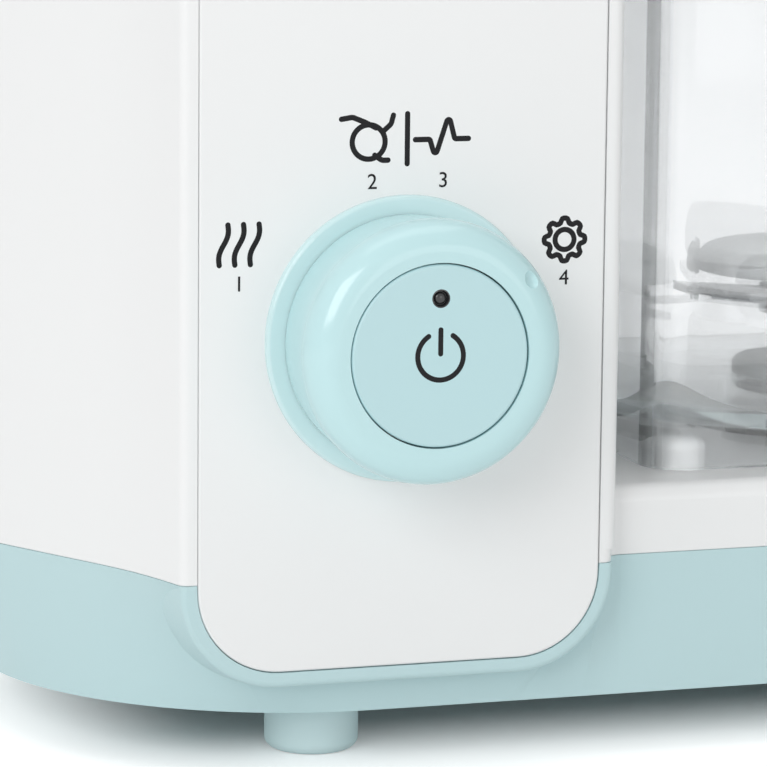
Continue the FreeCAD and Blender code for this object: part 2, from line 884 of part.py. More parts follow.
def motor_parts():
    """Motor standing on a bracket, with its shaft pointing down to the belt."""
    seat = bracket_z + bracket_thickness
    axis = (motor_x, motor_y)
    can = rod(motor_radius, seat, seat + motor_height, *axis)
    can = rounded(can, motor_round, at_height(seat + motor_height))
    can = can.cut(rod(shaft_radius + running_clearance, seat - spare, seat + motor_bearing_depth, *axis))
    x0, x1 = motor_x - bracket_half_x, motor_x + bracket_half_x
    y0, y1 = motor_y - bracket_half_y, motor_y + bracket_half_y
    plate = prism(rounded_rectangle(x0, x1, y0, y1, bracket_corner), bracket_z, seat)
    places = corners(x0, x1, y0, y1, bracket_leg_inset)
    legs = [rod(bracket_leg_radius, base_floor, bracket_z, x, y) for x, y in places]
    bracket = joined(plate, *legs).cut(rod(bracket_bore, 0, seat + spare, *axis))
    shaft = rod(shaft_radius, pulley_bottom, seat + motor_bearing_depth - spare, *axis)
    return {"motor": can, "motor_bracket": bracket, "motor_shaft": shaft,
            "motor_pulley": pulley(motor_pulley_radius, motor_x, motor_y)}


def dog(inner, outer, z0, z1):
    """One coupling tooth, a sector of a ring."""
    sector = Part.makeCylinder(outer, z1 - z0, vec(jug_x, jug_y, z0), vec(0, 0, 1), tooth_angle)
    sector = sector.rotated(vec(jug_x, jug_y, 0), vec(0, 0, 1), -tooth_angle / 2)
    return sector.cut(rod(inner, z0 - spare, z1 + spare, jug_x, jug_y))


def coupling_heights():
    """Heights of the two coupling discs, whose teeth mesh between them."""
    drive_low = well_floor + coupling_gap
    drive_high = drive_low + coupling_disc
    return drive_low, drive_high, drive_high + coupling_tooth + coupling_gap


def spindle_parts():
    """Spindle in its two bushes under the deck, its pulley and the coupling in the well."""
    under = well_floor - wall
    barrel = rod(bearing_radius, bearing_bottom, under, jug_x, jug_y)
    flange = rod(bearing_flange_radius, under - bearing_flange, under, jug_x, jug_y)
    bearing = joined(barrel, flange)
    bearing = bearing.cut(rod(bush_radius, bearing_bottom - spare, under + spare, jug_x, jug_y))
    bore = shaft_radius + running_clearance
    lower_top = bearing_bottom + bush_height
    low, high, _ = coupling_heights()
    tooth = dog(tooth_inner_radius, coupling_radius, high, high + coupling_tooth)
    teeth = fan(tooth, coupling_teeth, jug_x, jug_y)
    drive = joined(rod(coupling_radius, low, high, jug_x, jug_y), *teeth)
    drive = drive.cut(rod(shaft_radius, low - spare, high + spare, jug_x, jug_y))
    return {"bearing_housing": bearing,
            "bush_lower": ring(bush_radius, bore, bearing_bottom, lower_top, jug_x, jug_y),
            "bush_upper": ring(bush_radius, bore, well_floor - bush_height, well_floor, jug_x, jug_y),
            "spindle": rod(shaft_radius, pulley_bottom, high, jug_x, jug_y),
            "spindle_pulley": pulley(spindle_pulley_radius, jug_x, jug_y),
            "drive_coupling": drive}


def dish(drop):
    """Round space over the jug's floor, or over its underside when dropped by the floor's thickness."""
    low = jug_floor - drop
    arc = dish_arc + drop
    path = Outline(0, low)
    path.line(dish_radius, low).arc(dish_radius, low + arc, dish_radius + arc, low + arc)
    path.line(dish_radius + arc, jug_top + jug_half).line(0, jug_top + jug_half).line(0, low)
    return standing(path.face()).revolve(vec(0, 0, 0), vec(0, 0, 1), 360).translated(vec(jug_x, jug_y, 0))


def jug():
    """Clear jug: square walls, dished floor and an open skirt that stands on the deck."""
    bottom = deck_top + jug_lift
    inner = jug_half - jug_wall
    inner_corner = jug_corner - jug_wall
    walls = prism(square(jug_half, jug_corner), bottom, jug_top)
    space = prism(square(inner, inner_corner), jug_floor - spare, jug_top + spare).common(dish(0))
    skirt = prism(square(inner, inner_corner), bottom - spare, jug_top).cut(dish(jug_wall))
    body = walls.cut(space).cut(skirt)
    hole = rod(holder_body_radius + screw_clearance, bottom, jug_floor + spare, jug_x, jug_y)
    return rounded(body.cut(hole), rim_edge, at_height(jug_top))


def jug_handle():
    """Closed handle on the jug's right wall."""
    outer = rounded_rectangle(jug_right, handle_right, handle_bottom, handle_top,
                              handle_round / 2, handle_corner)
    hole = rounded_rectangle(jug_right + handle_strap, handle_right - handle_grip,
                             handle_bottom + handle_arm, handle_top - handle_arm,
                             handle_round, handle_round * 2)
    y0, y1 = jug_y - handle_width / 2, jug_y + handle_width / 2
    body = prism_y(outer, y0, y1)

    def side_edge(box):
        return (at_depth(y0)(box) or at_depth(y1)(box)) and box.XMax > jug_right + handle_round

    return rounded(body, handle_round, side_edge).cut(prism_y(hole, y0 - spare, y1 + spare))


def wing(z, tilt):
    """Flared blade with a toothed leading edge, bent up or down from its hub."""
    root = blade_root / 2
    inside = blade_hub_radius - blade_thickness
    flare = math.radians(blade_flare_angle)
    tip_x, tip_y = blade_radius * math.cos(flare), blade_radius * math.sin(flare)
    path = Outline(inside, -root)
    path.line(blade_hub_radius, -root).line(tip_x, -tip_y).arc(0, 0, tip_x, tip_y)
    path.line(blade_hub_radius, root).line(inside, root).line(inside, -root)
    blade = prism(path.face(), 0, blade_thickness)
    for i in range(blade_teeth):
        share = (i + 1) / (blade_teeth + 1)
        x = blade_hub_radius + (tip_x - blade_hub_radius) * share
        y = -root - (tip_y - root) * share - blade_tooth_radius / 2
        blade = blade.cut(rod(blade_tooth_radius, -spare, blade_thickness + spare, x, y))
    blade = blade.rotated(vec(blade_hub_radius, 0, 0), vec(0, 1, 0), -tilt)
    return blade.translated(vec(jug_x, jug_y, z))


def blade(z, tilt, first):
    """Two wings on a hub that is keyed to the shaft."""
    hub = rod(blade_hub_radius, z, z + blade_thickness, jug_x, jug_y)
    wings = fan(wing(z, tilt), 2, jug_x, jug_y, first)
    return joined(hub, *wings).cut(rod(shaft_radius, 0, jug_top, jug_x, jug_y))


def blade_unit():
    """Holder in the jug's floor and the shaft that carries coupling, blades and cap."""
    axis = (jug_x, jug_y)
    under = jug_floor - jug_wall
    nut_low = under - nut_height
    seal_low = jug_floor + holder_flange
    bore = shaft_radius + shaft_clearance
    flange = rod(holder_radius, jug_floor, seal_low, *axis)
    holder = joined(flange, rod(holder_body_radius, nut_low, jug_floor, *axis))
    holder = rounded(holder, holder_flange / 2, at_height(seal_low)).cut(rod(bore, 0, jug_top, *axis))
    _, high, plate = coupling_heights()
    shaft_low = high + coupling_gap
    tooth = dog(tooth_inner_radius, coupling_radius, shaft_low, plate)
    teeth = fan(tooth, coupling_teeth, jug_x, jug_y, 180.0 / coupling_teeth)
    driven = joined(rod(coupling_radius, plate, nut_low - coupling_gap, *axis), *teeth)
    driven = driven.cut(rod(shaft_radius, 0, jug_top, *axis))
    spacer = ring(spacer_radius, shaft_radius, blade_low_z + blade_thickness, blade_high_z, *axis)
    sleeve = ring(spacer_radius, shaft_radius, seal_low + seal_height + coupling_gap, blade_low_z, *axis)
    return {"blade_holder": holder,
            "holder_nut": ring(nut_radius, holder_body_radius, nut_low, under, *axis),
            "shaft_seal": ring(seal_radius, bore, seal_low, seal_low + seal_height, *axis),
            "jug_coupling": driven,
            "blade_shaft": rod(shaft_radius, shaft_low, cap_bottom + cap_wall, *axis),
            "blade_lower": blade(blade_low_z, -blade_low_angle, blade_turn_angle + blade_cross_angle),
            "blade_upper": blade(blade_high_z, blade_high_angle, blade_turn_angle),
            "blade_spacers": Part.makeCompound([spacer, sleeve]), "blade_cap": blade_cap()}


def blade_cap():
    """Domed cap on the end of the blade shaft, hollow below."""
    axis = (jug_x, jug_y)
    top = cap_bottom + cap_height
    ceiling = cap_bottom + cap_wall
    dome = rounded(rod(cap_radius, cap_bottom, top, *axis), cap_round, at_height(top))
    dome = dome.cut(rod(cap_radius - cap_wall, cap_bottom - spare, ceiling, *axis))
    neck = rod(spacer_radius, blade_high_z + blade_thickness, ceiling, *axis)
    return joined(dome, neck).cut(rod(shaft_radius, 0, ceiling, *axis))


def steam_basket():
    """Basket that hangs by its flange from the jug's rim, with a perforated floor."""
    outer_half = jug_half - jug_wall - basket_gap
    inner_half = outer_half - basket_wall
    corner = jug_corner - jug_wall
    flange = prism(square(jug_half, jug_corner), jug_top, jug_top + basket_flange)
    tub = prism(square(outer_half, corner), basket_bottom, jug_top + touch)
    floor = basket_bottom + basket_wall
    space = prism(square(inner_half, corner - basket_wall), floor, jug_top + basket_flange + spare)
    basket = joined(flange, tub).cut(space)
    first = -basket_hole_step * (basket_hole_count - 1) / 2
    steps = [first + basket_hole_step * i for i in range(basket_hole_count)]
    holes = [rod(basket_hole_radius, basket_bottom - spare, floor + spare, jug_x + x, jug_y + y)
             for x in steps for y in steps]
    return basket.cut(Part.makeCompound(holes))


def jug_lid_parts():
    """Lid over the jug and basket, its seal, its steam port and the stopper in its middle."""
    top = lid_seat + jug_lid_plate
    half = jug_lid_half
    corner = jug_corner + jug_lid_gap + jug_lid_wall
    lid = rounded(prism(square(half, corner), jug_top - jug_lid_skirt, top), jug_lid_round, at_height(top))
    room_half = jug_half + jug_lid_gap
    room = prism(square(room_half, jug_corner + jug_lid_gap), jug_top - jug_lid_skirt - spare, lid_seat)
    pocket = prism(square(jug_half - jug_lid_rim, jug_corner), lid_seat - spare, top - jug_lid_top)
    port = rod_x(port_radius, port_face, jug_x - half + jug_lid_wall, jug_y, steam_z)
    lid = joined(lid.cut(room).cut(pocket), port)
    bore_end = jug_x - jug_half + jug_lid_rim + spare
    lid = lid.cut(rod_x(port_bore, port_face - spare, bore_end, jug_y, steam_z))
    lid = lid.cut(rod(stopper_radius, lid_seat - spare, top + spare, jug_x, jug_y))
    seal = prism(square(jug_half - jug_lid_gap, jug_corner), jug_top + basket_flange, lid_seat)
    inner = jug_half - jug_lid_gap - jug_seal_width
    seal = seal.cut(prism(square(inner, jug_corner - jug_seal_width), jug_top, top))
    cap = rod(stopper_radius + stopper_flange, top, top + stopper_cap, jug_x, jug_y)
    cap = rounded(cap, stopper_round, at_height(top + stopper_cap))
    plug = rod(stopper_radius - stopper_gap, top - stopper_depth, top, jug_x, jug_y)
    return {"jug_lid": lid, "lid_seal": seal, "lid_stopper": joined(cap, plug)}


def tank_parts():
    """Water tank hung in the tower's top, its hinged lid, the seal and the hinge pin."""
    rim = tower_top + tank_wall
    ceiling = rim + tank_seal
    flange = prism(tank_outline(tank_flange), tower_top, rim)
    tank = joined(prism(tank_outline(), tank_bottom, tower_top + touch), flange)
    tank = tank.cut(prism(tank_outline(-tank_wall), tank_bottom + tank_wall, rim + spare))
    posts = [rod(post_radius, boiler_top + boiler_cover, tank_bottom, x, y) for x, y in boiler_posts()]
    tank = joined(tank, *posts)
    tank = tank.cut(rod(tube_bore, tank_bottom - spare, tank_bottom + tank_wall + spare, *water_outlet))
    seal = prism(tank_outline(tank_flange - seal_inset), rim, ceiling)
    seal = seal.cut(prism(tank_outline(), rim - spare, ceiling + spare))
    ends = hinge_half + hinge_gap + lug_width
    pin = rod_x(hinge_radius, hinge_x - ends, hinge_x + ends, hinge_y, hinge_z)
    return {"water_tank": tank, "tank_seal": seal, "tank_lid": tank_lid(ceiling), "hinge_pin": pin}


def tank_lid(ceiling):
    """Lid with a skirt round the tank's flange and a knuckle on the hinge pin."""
    top = ceiling + lid_plate
    lid = rounded(prism(tank_outline(lid_outer), tower_top + lid_skirt_gap, top), lid_round, at_height(top))
    lid = lid.cut(prism(tank_outline(lid_outer - lid_wall), tower_top, ceiling))
    low, high = hinge_x - hinge_half, hinge_x + hinge_half
    knuckle = rod_x(hinge_radius + hinge_wall, low, high, hinge_y, hinge_z)
    arm = block(low, high, tank_back + lid_outer - lid_round - spare, hinge_y, ceiling, top - lid_round / 2)
    bore = rod_x(hinge_radius + hinge_clearance, low - spare, high + spare, hinge_y, hinge_z)
    return joined(lid, knuckle, arm).cut(bore)


def boiler_posts():
    """Where the boiler hangs from the tank's floor."""
    reach = boiler_radius + boiler_flange / 2
    angles = [math.radians(post_angle + 360.0 / post_count * i) for i in range(post_count)]
    return [(motor_x + reach * math.cos(a), motor_y + reach * math.sin(a)) for a in angles]


def bent_tube(radius):
    """Run from the boiler's side to the nozzle: right, up and right again, with round bends."""
    x0 = motor_x + boiler_radius
    x1 = (tank_right + tank_gap + tower_right - wall) / 2
    x2 = tower_right - wall
    bend = min(tube_bend, x1 - x0, (x2 - x1) - spare)
    start = vec(x0, jug_y, tube_height)
    low = vec(x1 - bend, jug_y, tube_height)
    low_end = vec(x1, jug_y, tube_height + bend)
    high = vec(x1, jug_y, steam_z - bend)
    high_end = vec(x1 + bend, jug_y, steam_z)
    finish = vec(x2, jug_y, steam_z)
    slant = bend * math.sqrt(0.5)
    low_middle = vec(x1 - bend + slant, jug_y, tube_height + bend - slant)
    high_middle = vec(x1 + bend - slant, jug_y, steam_z - bend + slant)
    path = Part.Wire([Part.LineSegment(start, low).toShape(),
                      Part.Arc(low, low_middle, low_end).toShape(),
                      Part.LineSegment(low_end, high).toShape(),
                      Part.Arc(high, high_middle, high_end).toShape(),
                      Part.LineSegment(high_end, finish).toShape()])
    section = Part.Wire(Part.makeCircle(radius, start, vec(1, 0, 0)))
    return path.makePipeShell([section], True, False)


def boiler_parts():
    """Steam boiler under the tank with its heater, thermostat, tubes and nozzle."""
    axis = (motor_x, motor_y)
    cup = rod(boiler_radius, boiler_bottom, boiler_top, *axis)
    cup = joined(cup, rod(boiler_radius + boiler_flange, boiler_top - boiler_wall, boiler_top, *axis))
    cup = cup.cut(rod(boiler_radius - boiler_wall, boiler_bottom + boiler_wall, boiler_top + spare, *axis))
    cup = cup.cut(rod_x(tube_bore, motor_x, motor_x + boiler_radius + spare, jug_y, tube_height))
    cover = rod(boiler_radius + boiler_flange, boiler_top, boiler_top + boiler_cover, *axis)
    cover = cover.cut(rod(tube_bore, boiler_top - spare, boiler_top + boiler_cover + spare, *water_outlet))
    heater = Part.makeTorus(heater_radius, heater_tube, vec(motor_x, motor_y, boiler_bottom - heater_tube))
    gap = block(motor_x, motor_x + boiler_radius, motor_y - heater_tube, motor_y + heater_tube,
                0, boiler_bottom)
    heater = heater.cut(gap)
    thermostat = rod(thermostat_radius, boiler_bottom - thermostat_height, boiler_bottom, *axis)
    water = ring(tube_radius, tube_bore, boiler_top + boiler_cover, tank_bottom, *water_outlet)
    steam = bent_tube(tube_radius).cut(bent_tube(tube_bore))
    inside = tower_right - wall
    face = port_face - nozzle_face_gap
    flange = rod_x(nozzle_flange_radius, tower_right, face, jug_y, steam_z)
    nozzle = joined(rod_x(nozzle_radius, inside, face, jug_y, steam_z), flange)
    nozzle = nozzle.cut(rod_x(tube_bore, inside - spare, face + spare, jug_y, steam_z))
    return {"boiler_cup": cup, "boiler_cover": cover, "heating_element": heater, "thermostat": thermostat,
            "water_tube": water, "steam_tube": steam, "steam_nozzle": nozzle}


def all_pieces():
    pieces = {"base_shell": base_shell(), "housing": housing(), "front_panel": front_panel(),
              "cord_grommet": grommet(), "foot_screws": foot_screws(), "drive_belt": drive_belt(),
              "jug": jug(), "jug_handle": jug_handle(), "steam_basket": steam_basket()}
    for group in (feet, dial_parts, button_parts, control_board, power_board, motor_parts, spindle_parts,
                  blade_unit, jug_lid_parts, tank_parts, boiler_parts):
        pieces.update(group())
    return pieces


os.makedirs("parts", exist_ok=True)
for node, solid in all_pieces().items():
    solid.translated(shift).exportStep("parts/" + node + ".step")
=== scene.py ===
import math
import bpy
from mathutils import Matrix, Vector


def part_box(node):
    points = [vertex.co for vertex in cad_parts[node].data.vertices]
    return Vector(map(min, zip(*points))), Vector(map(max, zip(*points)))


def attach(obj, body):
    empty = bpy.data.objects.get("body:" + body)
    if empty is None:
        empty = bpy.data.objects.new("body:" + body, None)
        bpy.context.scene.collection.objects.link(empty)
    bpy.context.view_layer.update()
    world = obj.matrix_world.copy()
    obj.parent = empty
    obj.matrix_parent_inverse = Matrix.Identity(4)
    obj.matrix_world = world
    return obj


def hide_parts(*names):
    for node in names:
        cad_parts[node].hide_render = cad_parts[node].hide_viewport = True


bl_info = {
    "name": "Baby food maker",
    "version": (1, 0, 0),
    "blender": (4, 5, 0),
    "location": "3D View > Sidebar > Food maker",
    "description": "Finishes, printed symbols and studio stage for the baby food maker",
    "category": "Object",
}

import bmesh
import bpy
from mathutils import Matrix, Vector

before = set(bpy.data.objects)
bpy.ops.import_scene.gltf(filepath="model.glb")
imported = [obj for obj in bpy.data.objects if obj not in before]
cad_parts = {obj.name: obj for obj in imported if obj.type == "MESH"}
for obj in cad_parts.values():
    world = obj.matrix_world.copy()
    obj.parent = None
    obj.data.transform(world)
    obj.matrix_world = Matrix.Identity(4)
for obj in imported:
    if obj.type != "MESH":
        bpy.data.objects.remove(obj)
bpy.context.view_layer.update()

MM = 0.001
# Turns what is made lying flat to face the front.
UPRIGHT = Matrix.Rotation(math.radians(90), 4, "X")

# Refractive indices of the plastics.
ABS_IOR = 1.53
NYLON_IOR = 1.53
ELASTOMER_IOR = 1.5
POLYCARBONATE_IOR = 1.58
COPOLYESTER_IOR = 1.54
POLYPROPYLENE_IOR = 1.49
EPOXY_IOR = 1.55
SILICONE_IOR = 1.43

# Nearly all values of a noise pattern lie between these two.
NOISE_LOW, NOISE_HIGH = 0.3, 0.7
# Places of the colour sockets of a Mix node, which share their names with other sockets.
MIX_A, MIX_B, MIX_RESULT = 6, 7, 2
# Seed of the turns of the screws' heads.
SCREW_SEED = 4

# Height of a digit as a share of the font's size.
DIGIT_SHARE = 0.69
# Middle of each number's foot on the panel, in millimetres from the dial's axis.
NUMBER_PLACES = {"1": (-29.6, 9.2), "2": (-6.0, 26.1), "3": (6.8, 26.1), "4": (29.2, 8.4)}

# The camera's place from where the dial's axis meets the panel, and its sensor, in millimetres.
CAMERA_OFFSET = (-225.843, -695.083, 114.497)
SENSOR_WIDTH = 36.0
# How the camera is turned, in degrees.
CAMERA_TURN = (80.4893, -0.5564, -17.6365)
# Point that all lamps face, in metres.
LAMP_AIM = Vector((-0.03, 0.0, 0.08))
WHITE = (1, 1, 1, 1)


def middle(node):
    """Centre of a CAD node's box at rest."""
    low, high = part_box(node)
    return (low + high) / 2


dial_axis = middle("dial_bezel")
panel_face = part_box("front_panel")[0].y
button_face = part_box("power_button")[0].y


def linear(code):
    """Linear colour of an sRGB hex value."""
    values = [int(code[i:i + 2], 16) / 255 for i in (1, 3, 5)]
    return tuple(v / 12.92 if v <= 0.04045 else ((v + 0.055) / 1.055) ** 2.4 for v in values)


def colour_property(name, code, description):
    """Colour, given as an sRGB hex value."""
    return bpy.props.FloatVectorProperty(name=name, description=description, subtype="COLOR", size=3,
                                         min=0.0, max=1.0, default=linear(code))


def length_property(name, millimetres, description):
    """Length, given in millimetres and held in metres."""
    return bpy.props.FloatProperty(name=name, description=description, subtype="DISTANCE", unit="LENGTH",
                                   default=millimetres * MM)


def number_property(name, value, description, unit="NONE"):
    """Plain number, or one with a unit other than length."""
    return bpy.props.FloatProperty(name=name, description=description, unit=unit, default=value)


class FoodMakerFinish(bpy.types.PropertyGroup):
    """Colours of the mouldings, metals, boards and rubbers."""

    housing: colour_property("Housing", "#F0F1F1", "White ABS of the housing, panel and handle")
    base: colour_property("Base", "#BFDBDE", "Satin teal ABS of the base and lids")
    # The feet's pale teal is painted light, brighter than the shade under the base lets them be.
    feet: colour_property("Feet", "#DDF3F5", "Pale teal elastomer of the feet")
    dial: colour_property("Dial", "#C3E6E9", "Glossy teal ABS of the dial")
    # The bezel's paleness over the dial's teal is a painted reflection of the white surroundings.
    bezel: colour_property("Bezel", "#D0EBED", "Glossy pale teal ABS of the dial's bezel")
    button: colour_property("Button", "#BEDFE3", "Matt teal ABS of the power button")
    jug: colour_property("Jug", "#F2F3F4", "Clear copolyester of the jug")
    jug_depth: colour_property("Jug depth", "#76A3A8", "Tint where sight runs along the jug's wall")
    basket: colour_property("Basket", "#DDE9EA", "Milky polypropylene of the steam basket")
    ink: colour_property("Ink", "#131316", "Printing ink of the symbols and numbers")
    lamp: colour_property("Lamp", "#2B2B2D", "Smoked window over the lamp")
    steel: colour_property("Steel", "#C9CBCD", "Ground stainless steel of the blades and shafts")
    aluminium: colour_property("Aluminium", "#BFC1C3", "Aluminium of the boiler and bearing housing")
    hot_steel: colour_property("Hot steel", "#8A8178", "Browned steel of the heating element")
    bronze: colour_property("Bronze", "#B08D57", "Sintered bronze of the bushes")
    zinc: colour_property("Zinc", "#C2C8CC", "Zinc plating of the screws")
    nylon: colour_property("Nylon", "#2A2B2D", "Black nylon of the drive and the parts on the boards")
    holder: colour_property("Holder", "#8E9698", "Grey nylon of the blade holder")
    board: colour_property("Board", "#2F6B45", "Green solder mask of the boards")
    rubber: colour_property("Rubber", "#2B2B2B", "Black rubber of the belt and grommet")
    silicone: colour_property("Silicone", "#DCE2E3", "Milky silicone of the seals and tubes")


class FoodMakerPrint(bpy.types.PropertyGroup):
    """Sizes of what is printed on the panel and the button."""

    stroke: length_property("Stroke", 0.95, "Width of the lines of the symbols")
    power_stroke: length_property("Power stroke", 0.9, "Width of the lines of the power symbol")
    depth: length_property("Depth", 0.12, "Thickness of the ink, half of it proud of the surface")
    number: length_property("Number", 2.6, "Height of the numbers under the symbols")


class FoodMakerScrews(bpy.types.PropertyGroup):
    """Sizes of the screws in the feet."""

    head: length_property("Head", 7.2, "Width of the pan head")
    head_height: length_property("Head height", 2.6, "Height of the pan head")
    head_round: length_property("Head round", 1.0, "Rounding of the head's edge")
    shank: length_property("Shank", 4.0, "Width of the shank")
    slot: length_property("Slot", 0.9, "Width of the cross recess's arms")
    arm: length_property("Arm", 4.2, "Length of the cross recess's arms")
    recess: length_property("Recess", 1.4, "Depth of the cross recess")


class FoodMakerStage(bpy.types.PropertyGroup):
    """Camera, floor and lamps."""

    lens: number_property("Lens", 201.14, "Focal length of the camera on a 36 mm sensor", "CAMERA")
    place: bpy.props.FloatVectorProperty(
        name="Camera", description="Where the camera stands", size=3, subtype="TRANSLATION", unit="LENGTH",
        default=[a + b * MM for a, b in zip((dial_axis.x, panel_face, dial_axis.z), CAMERA_OFFSET)])
    turn: bpy.props.FloatVectorProperty(
        name="Turn", description="How the camera is turned", size=3, subtype="EULER",
        default=[math.radians(a) for a in CAMERA_TURN])
    floor: colour_property("Floor", "#F4F4F4", "Table under the object")
    # Lift, shade inset and shade reach set the table's painted shadow: its white lift is held back under
    # the base and rises away from it.
    lift: number_property("Lift", 0.5, "How much white the table gains away from the object")
    shade_inset: length_property("Shade inset", 45.0, "How far inside the base the lightening starts")
    shade_reach: length_property("Shade reach", 42.0, "Over what distance the table lightens")
    fill: number_property("Fill", 0.5, "Strength of the light from all round")
    key: number_property("Key", 6.9, "Power of the main lamp, on the left", "POWER")
    front: number_property("Front", 1.9, "Power of the low lamp in front", "POWER")
    top: number_property("Top", 3.5, "Power of the lamp overhead", "POWER")


def add(tree, kind, inputs=None, **settings):
    """Add a node, set its properties, then set or link its inputs."""
    node = tree.nodes.new(kind)
    for name, value in settings.items():
        setattr(node, name, value)
    for name, value in (inputs or {}).items():
        if isinstance(value, bpy.types.NodeSocket):
            tree.links.new(value, node.inputs[name])
        else:
            node.inputs[name].default_value = value
    return node


def new_material(name):
    """Empty node material, its tree, and the Object coordinates that its patterns read."""
    material = bpy.data.materials.new(name)
    material.use_nodes = True
    tree = material.node_tree
    tree.nodes.clear()
    return material, tree, add(tree, "ShaderNodeTexCoord").outputs["Object"]


def per_metre(millimetres):
    """Noise scale whose features are about this size."""
    return 1.0 / (millimetres * MM)


def coat(tree, colour, shade, tone, film, roughness, spread, height, strength, shader):
    """End a material whose colour follows the pattern tone, and its gloss and relief the pattern film."""
    dark = [c * (1 - shade) for c in colour]
    ramp = add(tree, "ShaderNodeMix", {"Factor": tone, MIX_A: (*dark, 1), MIX_B: (*colour, 1)},
               data_type="RGBA")
    gloss = add(tree, "ShaderNodeMapRange", {"Value": film, "From Min": NOISE_LOW, "From Max": NOISE_HIGH,
                                             "To Min": roughness - spread, "To Max": roughness + spread})
    bump = add(tree, "ShaderNodeBump", {"Height": film, "Distance": height * MM, "Strength": strength})
    inputs = {"Base Color": ramp.outputs[MIX_RESULT], "Roughness": gloss.outputs["Result"],
              "Normal": bump.outputs["Normal"], **shader}
    skin = add(tree, "ShaderNodeBsdfPrincipled", inputs)
    add(tree, "ShaderNodeOutputMaterial", {"Surface": skin.outputs["BSDF"]})


def surface(name, colour, roughness, grain, cloud=40.0, shade=0.03, spread=0.05, height=0.01, **shader):
    """Soft clouds of shade, uneven gloss and a fine grain. Grain, cloud and height are in millimetres."""
    material, tree, place = new_material(name)
    clouds = add(tree, "ShaderNodeTexNoise", {"Vector": place, "Scale": per_metre(cloud), "Detail": 3.0})
    fine = add(tree, "ShaderNodeTexNoise", {"Vector": place, "Scale": per_metre(grain), "Detail": 2.0})
    coat(tree, colour, shade, clouds.outputs["Fac"], fine.outputs["Fac"], roughness, spread, height,
         strength=0.6, shader=shader)
    return material


def brushed(name, colour, roughness, line, run, shade=0.08, spread=0.08, height=0.004):
    """Ground metal: fine lines drawn out along X. Line, run and height are in millimetres."""
    material, tree, place = new_material(name)
    drawn = add(tree, "ShaderNodeMapping", {"Vector": place, "Scale": (line / run, 1.0, 1.0)})
    lines = add(tree, "ShaderNodeTexNoise", {"Vector": drawn.outputs["Vector"], "Scale": per_metre(line),
                                             "Detail": 4.0})
    coat(tree, colour, shade, lines.outputs["Fac"], lines.outputs["Fac"], roughness, spread, height,
         strength=1.0, shader={"Metallic": 1.0})
    return material


def seen_directly(tree):
    """1 for what the camera sees straight, in a reflection or through the jug, and 0 for stray light."""
    path = add(tree, "ShaderNodeLightPath").outputs
    seen = path["Is Camera Ray"]
    for kind in ("Is Transmission Ray", "Is Glossy Ray"):
        seen = add(tree, "ShaderNodeMath", {0: seen, 1: path[kind]}, operation="MAXIMUM").outputs[0]
    return seen


def dress(material, *nodes):
    """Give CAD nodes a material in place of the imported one."""
    for name in nodes:
        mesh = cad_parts[name].data
        mesh.materials.clear()
        mesh.materials.append(material)


def new_object(name, data):
    """Object in the scene, at the origin."""
    obj = bpy.data.objects.new(name, data)
    bpy.context.scene.collection.objects.link(obj)
    return obj


def settle(obj, place):
    """Turn an object into a plain mesh of its evaluated shape, with its place in its vertices."""
    bpy.context.view_layer.update()
    shape = obj.evaluated_get(bpy.context.evaluated_depsgraph_get())
    mesh = bpy.data.meshes.new_from_object(shape)
    mesh.transform(place)
    name = obj.name
    bpy.data.objects.remove(obj)
    return new_object(name, mesh)


def finish_piece(obj, body, slot, *nodes):
    """Let a piece ride on a body, in place of the named nodes. The slot is not used."""
    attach(obj, body)
    if nodes:
        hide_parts(*nodes)


def quarter_turn(steps):
    """Angles from 0 to a right angle."""
    return [math.radians(90 * i / steps) for i in range(steps + 1)]


def turned(name, profile, steps):
    """Mesh turned about Z from (radius, height) points in millimetres that start and end on the axis."""
    shape = bmesh.new()
    points = [shape.verts.new((r * MM, 0.0, h * MM)) for r, h in profile]
    edges = [shape.edges.new(pair) for pair in zip(points, points[1:])]
    bmesh.ops.spin(shape, geom=points + edges, cent=(0, 0, 0), axis=(0, 0, 1), angle=2 * math.pi,
                   steps=steps)
    bmesh.ops.remove_doubles(shape, verts=shape.verts, dist=0.0001 * MM)
    bmesh.ops.recalc_face_normals(shape, faces=shape.faces)
    mesh = bpy.data.meshes.new(name)
    shape.to_mesh(mesh)
    shape.free()
    return mesh


def smooth(mesh, angle=35.0):
    """Shade a mesh smooth up to an angle between faces, in degrees."""
    mesh.shade_smooth()
    mesh.set_sharp_from_angle(angle=math.radians(angle))


def tree_inputs(name, lengths, material):
    """Geometry node tree with inputs for its geometry, its lengths and its material, and one output."""
    tree = bpy.data.node_groups.new(name, "GeometryNodeTree")
    tree.interface.new_socket("Geometry", in_out="INPUT", socket_type="NodeSocketGeometry")
    for length in lengths:
        tree.interface.new_socket(length, in_out="INPUT", socket_type="NodeSocketFloat")
    tree.interface.new_socket(material, in_out="INPUT", socket_type="NodeSocketMaterial")
    tree.interface.new_socket("Geometry", in_out="OUTPUT", socket_type="NodeSocketGeometry")
    return tree, add(tree, "NodeGroupInput").outputs


def close_tree(tree, geometry, material):
    """End a geometry tree: realised, with its material, to the output."""
    real = add(tree, "GeometryNodeRealizeInstances", {"Geometry": geometry})
    painted = add(tree, "GeometryNodeSetMaterial", {"Geometry": real.outputs["Geometry"],
                                                    "Material": material})
    add(tree, "NodeGroupOutput", {"Geometry": painted.outputs["Geometry"]})


def apply_tree(obj, tree, **values):
    """Put a geometry tree on an object with its inputs set by their identifiers."""
    modifier = obj.modifiers.new(tree.name, "NODES")
    modifier.node_group = tree
    for socket in tree.interface.items_tree:
        key = socket.name.lower().replace(" ", "_")
        if socket.in_out == "INPUT" and key in values:
            modifier[socket.identifier] = values[key]


